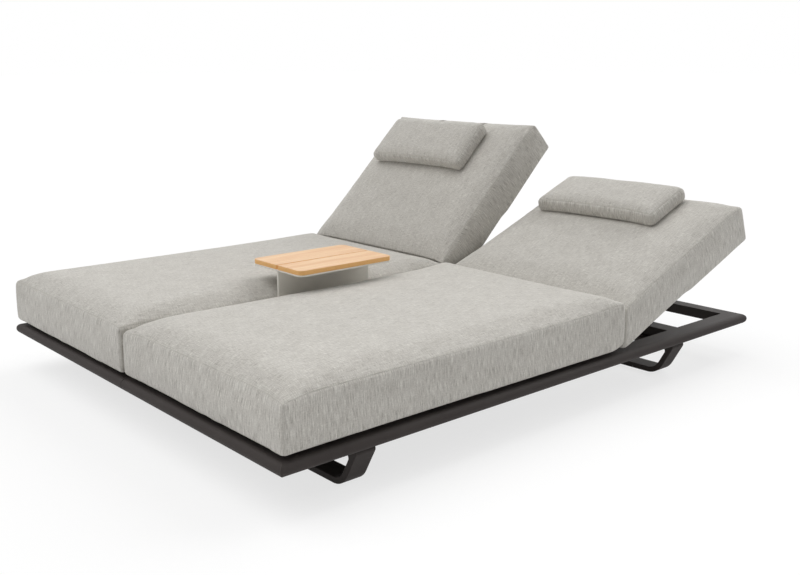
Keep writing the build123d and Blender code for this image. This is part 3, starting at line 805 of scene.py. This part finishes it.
def inflate(made, held, cap, pressure):
    """Swell a cushion as stuffed cloth: held is how firmly each point stays, cap how far one moves."""
    scene = bpy.context.scene
    start = points_of(made.data)
    group = made.vertex_groups.new(name="held")
    levels = np.round(held, 2)
    for level in np.unique(levels):
        if level > 0:
            group.add([int(i) for i in np.flatnonzero(levels == level)], float(level), "REPLACE")
    cloth = made.modifiers.new("cloth", "CLOTH")
    cloth.settings.vertex_group_mass = "held"
    for key, value in CLOTH_SETTINGS.items():
        setattr(cloth.settings, key, value)
    cloth.settings.uniform_pressure_force = pressure
    cloth.settings.effector_weights.gravity = 0
    cloth.point_cache.frame_start = 1
    cloth.point_cache.frame_end = CLOTH_FRAMES
    for at in range(1, CLOTH_FRAMES + 1):
        scene.frame_set(at)
    swollen = points_of(made.evaluated_get(bpy.context.evaluated_depsgraph_get()).data)
    made.modifiers.remove(cloth)
    scene.frame_set(1)
    moved = swollen - start
    length = np.linalg.norm(moved, axis=1, keepdims=True)
    capped = moved / np.maximum(length, 1e-9) * (cap * MM * np.tanh(length / (cap * MM)))
    set_points(made.data, start + capped)


def refined(made):
    """Subdivide a cushion and hand over its panel places as a plain attribute."""
    divide = made.modifiers.new("divide", "SUBSURF")
    divide.levels = divide.render_levels = SUBDIVISIONS
    divide.uv_smooth = "NONE"
    graph = bpy.context.evaluated_depsgraph_get()
    shown = made.evaluated_get(graph)
    mesh = bpy.data.meshes.new_from_object(shown, preserve_all_data_layers=True, depsgraph=graph)
    made.modifiers.remove(divide)
    made.data = mesh
    count = len(mesh.loops)
    flat, panel = np.zeros(count * 2, np.float32), np.zeros(count * 2, np.float32)
    mesh.uv_layers["flat"].data.foreach_get("uv", flat)
    mesh.uv_layers["panel"].data.foreach_get("uv", panel)
    corner = np.zeros(count, np.int32)
    mesh.loops.foreach_get("vertex_index", corner)
    weave = np.concatenate([flat.reshape(-1, 2), panel.reshape(-1, 2)[:, :1]], 1)
    carried = mesh.attributes.new("weave", "FLOAT_VECTOR", "CORNER")
    carried.data.foreach_set("vector", weave.ravel())
    for name in ("flat", "panel"):
        mesh.uv_layers.remove(mesh.uv_layers[name])
    at_point = np.zeros((len(mesh.vertices), 3))
    at_point[corner] = weave / MM
    mesh.polygons.foreach_set("use_smooth", np.ones(len(mesh.polygons), bool))
    return at_point


def seam_places(at_point, size):
    """How far each point is from the top seam, above nought on the top panel, and how far along it."""
    lx, ly, lz = size
    u, v, panel = at_point.T
    sides = np.stack([lx - u, u, v, ly - v])
    runs = np.stack([v, -lx - v, u - lx, ly + lx - u])
    nearest = np.argmin(sides, axis=0)
    on_top = panel < 0.5
    away = np.where(on_top, sides.min(0), v - lz)
    away = np.where(panel > 1.5, -lz - PAST_FOOT, away)
    run = np.where(on_top, np.take_along_axis(runs, nearest[None], 0)[0], u)
    return away, run


def carry(mesh, name, values):
    """Hand a number for each point over to the material, as a named attribute."""
    made = mesh.attributes.new(name, "FLOAT", "POINT")
    made.data.foreach_set("value", values.astype(np.float32))


def sew(made, at_point, size, seed, depth, pucker, waves, waver=0.0):
    """Press the top seam in, gather the cloth beside it and give the panels soft waves."""
    mesh = made.data
    away, run = seam_places(at_point, size)
    carry(mesh, "seam", away * MM)
    carry(mesh, "run", run * MM)
    points, normals = points_of(mesh) / MM, rows_of(mesh, "normal")
    u, v, panel = at_point.T
    lift = -depth * np.exp(-(away / SEAM_WIDTH) ** 2)
    gather = layered_noise(run[None], GATHERS, seed)
    fade = np.where(away > 0, np.exp(-away / GATHER_TOP_REACH), np.exp(away / GATHER_SIDE_REACH))
    lift += pucker * gather * fade * (1 - np.exp(-(away / GATHER_START) ** 2))
    broad = layered_noise(points.T, WAVES, seed + 2)
    lift += waves * broad * (1 - np.exp(-np.abs(away) / WAVE_REACH)) * (panel < 1.5)
    on_boxing = (panel > 0.5) & (panel < 1.5)
    folds = FOLD_DEPTH * smooth_noise(np.stack([run, v * FOLD_STRETCH]), FOLD_WAVELENGTH, seed + 4)
    lift += np.where(on_boxing, folds * smooth_step(-away / FOLD_FADE) * smooth_step(v / FOLD_FADE), 0)
    points += normals * lift[:, None]
    low = waver * np.exp(-np.maximum(v, 0) / WAVER_HEIGHT) * on_boxing
    points[:, 2] += low * layered_noise(points.T[:2], WAVERS, seed + 5)
    set_points(mesh, points * MM)


# Cushions and pillows

def seat_cushion(key):
    """One seat cushion, in the space its CAD solid holds."""
    side, start = SIDES[key], SEAT_STARTS[key]
    size = (CUSHION_HIGH_X - CUSHION_LOW_X, SEAT_END - start, SEAT_PLANE - SEAT_BOTTOM)
    points, *cloth = skin(size, SEAT_STEP, CUSHION_EDGE)
    raw = points.copy()
    rear = raw[:, 1] > size[1] / 2
    side_radii = np.where(rear, SEAT_REAR_RADIUS, SEAT_FRONT_RADIUS)
    points = rounded(points, size, side_radii, SEAT_TOP_RADIUS, SEAT_FOOT_RADIUS)
    upper = smooth_step(raw[:, 2] / size[2])
    along = raw[:, 1] / size[1]
    top = shoulder(points, size, SEAT_RISES[key], SEAT_RISE_REACH, SEAT_CROWNS[key])
    points[:, 2] += upper * top * (1 + SEAT_TILTS[key] * along)
    dip = np.where(rear, SEAT_REAR_DIP, SEAT_FRONT_DIPS[key])
    points[:, 2] -= upper * dip * corner_hold(raw, size, SEAT_DIP_REACH)
    points[:, 2] += upper * SEAT_LIFTS[key] * smooth_step((along - SEAT_LIFT_START) / SEAT_LIFT_LENGTH)
    draw_in(points, size, CUSHION_PULL)

    # The far bottom edge is rounded off where the back turns, and the other edges lift a little
    far = smooth_step((raw[:, 1] - (size[1] - SEAT_CURL_REACH)) / SEAT_CURL_REACH)
    points[:, 2] += SEAT_CURL * far * far * (1 - upper)
    edge = np.minimum(inward(raw, size, 0), raw[:, 1])
    low = np.clip(1 - raw[:, 2] / SEAT_EDGE_HEIGHT, 0, 1)
    points[:, 2] += SEAT_EDGE_LIFT * (1 - smooth_step(edge / SEAT_EDGE_REACH)) * low * (1 - far)
    points += (CUSHION_LOW_X, start, SEAT_BOTTOM)
    made = cloth_object(f"{key}_seat_soft", points, cloth, side)
    inflate(made, grip(raw, size, SEAT_HOLD_REACH), SEAT_SWELL, CUSHION_PRESSURE)
    sew(made, refined(made), size, SEEDS[key], **SEAT_SEWING, waver=SEAT_WAVER)
    points = points_of(made.data) / MM
    fit_sides(points, side)
    fit_plan(points, 1, start, SEAT_END)
    points[:, 2] = np.maximum(points[:, 2], SEAT_BOTTOM - SEAT_SAG)

    # The blade's channel
    inside = np.minimum(points[:, 1] - CHANNEL_Y[0], CHANNEL_Y[1] - points[:, 1])
    channel = CHANNEL_X * smooth_step(1 + inside / CHANNEL_END)
    points[:, 0] = side * np.maximum(side * points[:, 0], channel)
    set_points(made.data, points * MM)
    return made


def back_front(height, edge, angle, start):
    """Where a back's front face is, by its height above the hinge and the distance from its side."""
    turn = math.radians(angle)
    wall = (BACK_WALL_Y - HINGE_Y + height * math.sin(turn)) / math.cos(turn)
    level = BACK_ROOF_Z + BACK_ROOF_RISE * (1 - np.exp(-edge / BACK_ROOF_REACH))
    roof = (level - HINGE_Z - height * math.cos(turn)) / math.sin(turn)
    return np.maximum(start, np.minimum(wall, np.maximum(roof, start)))


def back_cushion(key):
    """One back cushion in its flat pose, as an object and the points to raise."""
    side, start, end = SIDES[key], BACK_FRONTS[key], BACK_ENDS[key]
    size = (CUSHION_HIGH_X - CUSHION_LOW_X, end - start, BACK_PLANE - BACK_BOTTOM)
    points, *cloth = skin(size, BACK_STEP, CUSHION_EDGE)
    raw = points.copy()
    front = raw[:, 1] < size[1] / 2
    low = np.clip(1 - raw[:, 2] / size[2], 0, 1)
    side_radii = np.where(front, BACK_RADIUS + BACK_FRONT_GAIN * low, BACK_RADIUS)
    foot_radii = np.where(front, BACK_FRONT_FOOT, BACK_RADIUS)
    points = rounded(points, size, side_radii, BACK_RADIUS, foot_radii)
    upper = smooth_step(raw[:, 2] / size[2])
    points[:, 2] += upper * shoulder(points, size, BACK_RISE, BACK_RISE_REACH, BACK_CROWN)
    dip = BACK_DIP * corner_hold(raw, size, BACK_DIP_REACH) * (raw[:, 1] > size[1] / 2)
    points[:, 2] -= upper * dip

    # The far end stands a little higher between its corners
    edge = inward(raw, size, 0)
    far_edge = np.exp(-((size[1] - raw[:, 1]) / BACK_BROW_DEPTH) ** 2)
    between = 1 - np.exp(-(edge / BACK_BROW_REACH) ** 2)
    points[:, 2] += upper * BACK_BROWS[key] * far_edge * between

    # The top rolls down to the crack at the front, and the sides hang past the strips
    points[:, 2] -= upper * BACK_ROLL * np.exp(-(raw[:, 1] / BACK_ROLL_REACH) ** 2)
    draw_in(points, size, CUSHION_PULL)
    outer = (np.abs(raw[:, 0] - size[0] / 2) - BACK_HANG_START) / BACK_HANG_REACH
    points[:, 2] -= BACK_HANGS[key] * smooth_step(outer) * low
    points[:, 2] += BACK_BOTTOM
    face = back_front(points[:, 2], edge, BACK_ANGLES[key], start)
    points[:, 1] = face + points[:, 1] / size[1] * (end - face)
    points[:, 0] += CUSHION_LOW_X
    made = cloth_object(f"{key}_back_soft", points, cloth, side)
    near_front = np.clip(1 - raw[:, 1] / BACK_HOLD_FRONT, 0, 1)
    held = np.maximum(grip(raw, size, BACK_HOLD_REACH), near_front)
    inflate(made, held, BACK_SWELL, CUSHION_PRESSURE)
    sew(made, refined(made), size, SEEDS[key] + BACK_SEED_SHIFT, **BACK_SEWING)
    points = points_of(made.data) / MM
    fit_sides(points, side)
    points[:, 1] = np.minimum(points[:, 1], end)
    return made, points


def crest_height(x):
    """Height of the back cushion's crown in its flat pose, at a distance from its middle."""
    return CREST - CREST_FALL * (x / CREST_REACH) ** 2


def pillow(key):
    """A soft boxed pillow that lies on the back cushion's crown."""
    points, *cloth = skin(PILLOW_SIZE, PILLOW_STEP, PILLOW_EDGE)
    upper = smooth_step(points[:, 2] / PILLOW_SIZE[2])
    points = rounded(points, PILLOW_SIZE, PILLOW_SIDE_RADIUS, PILLOW_TOP_RADIUS, PILLOW_FOOT_RADIUS)
    lift = shoulder(points, PILLOW_SIZE, PILLOW_RISE, PILLOW_RISE_REACH, PILLOW_CROWN)
    points[:, 2] += upper * (lift - PILLOW_SINK) - (1 - upper) * PILLOW_BELLY * lift
    draw_in(points, PILLOW_SIZE, PILLOW_PULL)
    points[:, 0] -= PILLOW_SIZE[0] / 2
    points[:, 1] -= PILLOW_SIZE[1] / 2
    made = cloth_object(f"{key}_pillow_soft", points, cloth)
    inflate(made, np.zeros(len(points)), PILLOW_SWELL, PILLOW_PRESSURE)
    sew(made, refined(made), PILLOW_SIZE, SEEDS[key] + PILLOW_SEED_SHIFT, **PILLOW_SEWING)
    points = points_of(made.data) / MM
    middle = SIDES[key] * LOUNGER_MIDDLE
    points[:, 0] += middle + PILLOW_SHIFTS[key]
    points[:, 1] += PILLOW_MIDDLES[key]
    points[:, 2] += crest_height(points[:, 0] - middle) + PILLOW_GAP
    set_points(made.data, raised(points, BACK_ANGLES[key]) * MM)
    return made


# Straps

def strap_route(flat_skin, x, end):
    """Points and outward directions of a strap from under the pillow, over the far end and down."""
    probes = [(along, PROBE_HEIGHT, 0.0, -1.0)
              for along in np.arange(end - STRAP_TUCK, end - STRAP_TURN, STRAP_STEP)]
    for turn in np.radians(np.arange(*STRAP_SWEEP)):
        probes.append((end - STRAP_TURN + PROBE_REACH * math.cos(turn),
                       BACK_PLANE - STRAP_TURN + PROBE_REACH * math.sin(turn),
                       -math.cos(turn), -math.sin(turn)))
    route, directions = [], []
    for along, up, step_along, step_up in probes:
        hit, normal = flat_skin.ray_cast(Vector((x, along, up)), Vector((0, step_along, step_up)))[:2]
        if hit is not None:
            route.append(hit)
            directions.append(normal)
    return np.array(route), np.array(directions)


def smoothed(rows):
    """Rows of a path evened out, with its two ends kept."""
    rows = rows.copy()
    for _ in range(STRAP_SMOOTHING):
        rows[1:-1] = rows[1:-1] / 2 + (rows[:-2] + rows[2:]) / 4
    return rows


def strap(name, x, key, flat_skin):
    """One flat strap that lies on the back cushion, raised with it."""
    route, normals = strap_route(flat_skin, x, BACK_ENDS[key])
    normals[:, 0] = 0
    route, normals = smoothed(route), smoothed(normals)
    normals /= np.linalg.norm(normals, axis=1, keepdims=True)
    run = np.concatenate([[0], np.cumsum(np.linalg.norm(np.diff(route, axis=0), axis=1))])
    half, thick = STRAP_WIDTH / 2, STRAP_THICKNESS
    left = [(-half, 0.0), (-half, thick * STRAP_SHOULDER), (-half + STRAP_BEVEL, thick)]
    section = left + [(-across, up) for across, up in reversed(left)]
    points = []
    for place, normal in zip(route, normals):
        for across, up in section:
            points.append(place + np.array([across, 0, 0]) + normal * (up + STRAP_GAP))
    count = len(section)
    sides, ends = tube_faces(len(route), count)
    mesh = bpy.data.meshes.new(name)
    places = raised(np.array(points), BACK_ANGLES[key]) * MM
    mesh.from_pydata([tuple(p) for p in places], [], sides + ends)

    # The flat place of each face's corners: across the strap and along its run
    flats = [(section[point % count][0], run[point // count], 0)
             for face in sides + ends for point in face]
    weave = mesh.attributes.new("weave", "FLOAT_VECTOR", "CORNER")
    weave.data.foreach_set("vector", (np.array(flats) * MM).astype(np.float32).ravel())
    mesh.update()
    return new_object(name, mesh)


# The table's top

def board_outline(low, high, radii, inset):
    """Outline of a board seen from above, with a radius for each corner, drawn in by an inset."""
    corners = [(high[0], high[1]), (low[0], high[1]), (low[0], low[1]), (high[0], low[1])]
    outline = []
    for quarter, ((x, y), radius) in enumerate(zip(corners, radii)):
        middle_x = x - radius if x == high[0] else x + radius
        middle_y = y - radius if y == high[1] else y + radius
        for turn in np.linspace(0, math.pi / 2, CORNER_STEPS) + quarter * math.pi / 2:
            outline.append((middle_x + (radius - inset) * math.cos(turn),
                            middle_y + (radius - inset) * math.sin(turn)))
    return outline


def board(name, low, high, radii, under, over):
    """A flat board whose lower and upper rims are rounded by the radii under and over."""
    quarter = np.linspace(0, math.pi / 2, RIM_STEPS)
    rings = [(under - under * math.sin(turn), low[2] + under - under * math.cos(turn))
             for turn in quarter]
    rings += [(over - over * math.cos(turn), high[2] - over + over * math.sin(turn))
              for turn in quarter]
    points = []
    for inset, z in rings:
        points += [(x * MM, y * MM, z * MM) for x, y in board_outline(low, high, radii, inset)]
    sides, ends = tube_faces(len(rings), len(points) // len(rings))
    mesh = bpy.data.meshes.new(name)
    mesh.from_pydata(points, [], sides + ends)
    mesh.update()
    mesh.polygons.foreach_set("use_smooth", [True] * len(sides) + [False] * len(ends))
    return new_object(name, mesh)


def table():
    """The two boards of the table's top and the tray under them."""
    (low_x, high_x), (low_y, high_y) = TABLE_X, TABLE_Y
    outer, inner = TABLE_CORNER, BOARD_CORNER
    right = board("table_board_right", (BOARD_GAP / 2, low_y, TRAY_TOP), (high_x, high_y, TABLE_TOP),
                  (outer, inner, inner, outer), BOARD_FOOT, BOARD_EDGE)
    left = board("table_board_left", (low_x, low_y, TRAY_TOP), (-BOARD_GAP / 2, high_y, TABLE_TOP),
                 (inner, outer, outer, inner), BOARD_FOOT, BOARD_EDGE)
    tray = board("table_tray_pan", (low_x - TRAY_PROUD, low_y - TRAY_PROUD, TRAY_TOP - TRAY_DEPTH),
                 (high_x + TRAY_PROUD, high_y + TRAY_PROUD, TRAY_TOP), (outer + TRAY_PROUD,) * 4,
                 TRAY_FOOT, TRAY_EDGE)
    for made, slot, material, solid in ((right, "wood", WOOD, "table_slat_right"),
                                        (left, "wood", WOOD, "table_slat_left"),
                                        (tray, "pale_metal", PALE_COAT, "table_tray")):
        dress(made, material)
        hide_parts(solid)
        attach(made, "table")


# Pieces on their bodies

def dress(made, material):
    """Give a piece its material."""
    set_material(made, material)


def place_seat(key):
    """A lounger's seat cushion, at rest on the frame."""
    seat = seat_cushion(key)
    dress(seat, FABRIC)
    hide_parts(f"{key}_seat_cushion")
    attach(seat, "frame")


def place_back(key):
    """A lounger's back cushion, raised to the angle at which it stands; returns its skin in the flat
    pose.
    """
    back, flat_points = back_cushion(key)
    dress(back, FABRIC)
    faces = [list(face.vertices) for face in back.data.polygons]
    flat_skin = BVHTree.FromPolygons([Vector(p) for p in flat_points], faces)
    set_points(back.data, raised(flat_points, BACK_ANGLES[key]) * MM)
    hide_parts(f"{key}_back_cushion")
    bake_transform(back)
    return flat_skin


def place_straps(key, flat_skin):
    """The two straps of a lounger's pillow, on the back cushion."""
    side = SIDES[key]
    for place, spread in (("inner", -side), ("outer", side)):
        x = side * LOUNGER_MIDDLE + STRAP_SHIFT + spread * STRAP_SPREAD / 2
        band = strap(f"{key}_{place}_strap", x, key, flat_skin)
        dress(band, WEBBING)
        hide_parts(f"{key}_pillow_straps")
        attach(band, f"{key}_back")


def place_pillow(key):
    """A lounger's head pillow, which slides along the back."""
    head = pillow(key)
    dress(head, FABRIC)
    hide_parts(f"{key}_pillow")
    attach(head, f"{key}_pillow")


def lounger(key):
    """The cushions, straps and pillow of one lounger."""
    place_seat(key)
    flat_skin = place_back(key)
    place_straps(key, flat_skin)
    place_pillow(key)


# Floor, light and camera

def seen_directly(tree):
    """One where the floor or the sky is seen by the camera, in a reflection or through glass."""
    path = node(tree, "ShaderNodeLightPath")
    direct = maths(tree, "MAXIMUM", path.outputs["Is Camera Ray"], path.outputs["Is Glossy Ray"])
    return maths(tree, "MAXIMUM", direct, path.outputs["Is Transmission Ray"])


def floor_material():
    """White floor: seen directly it keeps only a soft share of the shadow."""
    material, tree = empty_material("studio_floor")
    grey = (FLOOR_GREY, FLOOR_GREY, FLOOR_GREY, 1)
    plain = node(tree, "ShaderNodeBsdfDiffuse", inputs={"Color": grey}).outputs[0]
    bright = node(tree, "ShaderNodeBsdfDiffuse", inputs={"Color": WHITE}).outputs[0]
    glow = node(tree, "ShaderNodeEmission", inputs={"Color": WHITE, "Strength": 1.0}).outputs[0]
    seen = node(tree, "ShaderNodeMixShader", inputs={0: FLOOR_GLOW, 1: bright, 2: glow}).outputs[0]
    both = node(tree, "ShaderNodeMixShader", inputs={0: seen_directly(tree), 1: plain, 2: seen})
    node(tree, "ShaderNodeOutputMaterial", inputs={"Surface": both.outputs[0]})
    return material


def studio():
    """The floor, the world's soft light and the lamps."""
    half = FLOOR_REACH * MM
    mesh = bpy.data.meshes.new("studio_floor")
    corners = [(-half, -half, 0), (half, -half, 0), (half, half, 0), (-half, half, 0)]
    mesh.from_pydata(corners, [], [(0, 1, 2, 3)])
    mesh.materials.append(floor_material())
    floor = new_object("studio_floor", mesh)
    world = bpy.data.worlds.new("studio")
    bpy.context.scene.world = world
    world.use_nodes = True
    tree = world.node_tree
    tree.nodes.clear()
    strength = maths(tree, "MULTIPLY_ADD", seen_directly(tree), 1 - SKY, SKY)
    sky = node(tree, "ShaderNodeBackground", inputs={"Color": WHITE, "Strength": strength})
    node(tree, "ShaderNodeOutputWorld", inputs={"Surface": sky.outputs[0]})
    for name, (energy, elevation, azimuth) in LAMPS.items():
        lamp = bpy.data.lights.new(name, "SUN")
        lamp.energy = energy
        lamp.angle = math.radians(LAMP_SPREAD)
        rise, turn = math.radians(elevation), math.radians(azimuth)
        level = math.cos(rise)
        away = Vector((level * math.cos(turn), level * math.sin(turn), math.sin(rise)))
        new_object(name, lamp).rotation_euler = (-away).to_track_quat("-Z", "Y").to_euler()


def camera():
    """The photograph's view."""
    lens = bpy.data.cameras.new("camera")
    lens.sensor_width = SENSOR_WIDTH
    lens.lens = LENS
    made = new_object("camera", lens)
    made.location = [part * MM for part in CAMERA_PLACE]
    made.rotation_euler = (math.radians(90 - CAMERA_FALL), 0, math.radians(CAMERA_TURN))
    bpy.context.scene.camera = made


finish_cad_nodes()
for key in SIDES:
    lounger(key)
table()
studio()
camera()
bpy.context.scene.view_settings.view_transform = "Standard"

bpy.context.view_layer.update()
